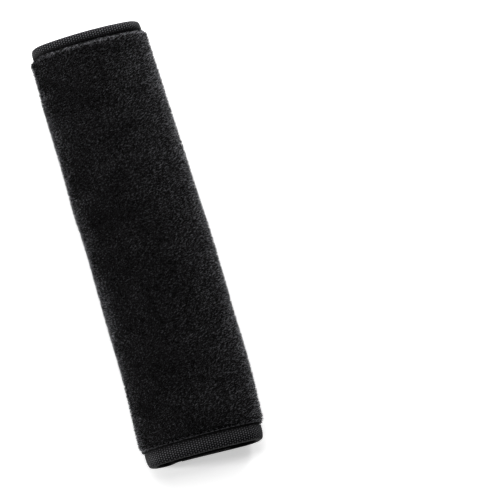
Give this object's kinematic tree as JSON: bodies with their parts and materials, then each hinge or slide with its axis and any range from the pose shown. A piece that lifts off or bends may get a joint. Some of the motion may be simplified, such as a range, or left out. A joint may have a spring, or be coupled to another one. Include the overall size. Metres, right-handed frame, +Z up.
{
  "type": "seat belt shoulder pad",
  "caption": "Plush-covered padded sleeve that wraps round a car's shoulder belt, closed along its back, with ribbed tape bound over both ends.",
  "frame": {"origin": "on the surface that the pad lies on, under the middle of the closed pad", "axes": "+X across the pad, +Y along it towards its narrower top end, +Z up through the plush front, with the closure underneath"},
  "size_m": [0.068, 0.24, 0.027],
  "materials": {
    "plush": "short dense pile, matt with a soft sheen at grazing angles",
    "foam": "matt open-cell foam",
    "lining": "fine plain weave, matt",
    "binding": "ribbed woven tape with a low lustre",
    "fastener": "nylon hooks and loops on a woven ground"
  },
  "bodies": {
    "root": {"plush_cover": "plush", "foam_pad": "foam", "inner_lining": "lining", "top_binding": "binding", "bottom_binding": "binding", "loop_tape": "fastener", "hook_tape": "fastener"}
  },
  "joints": []
}
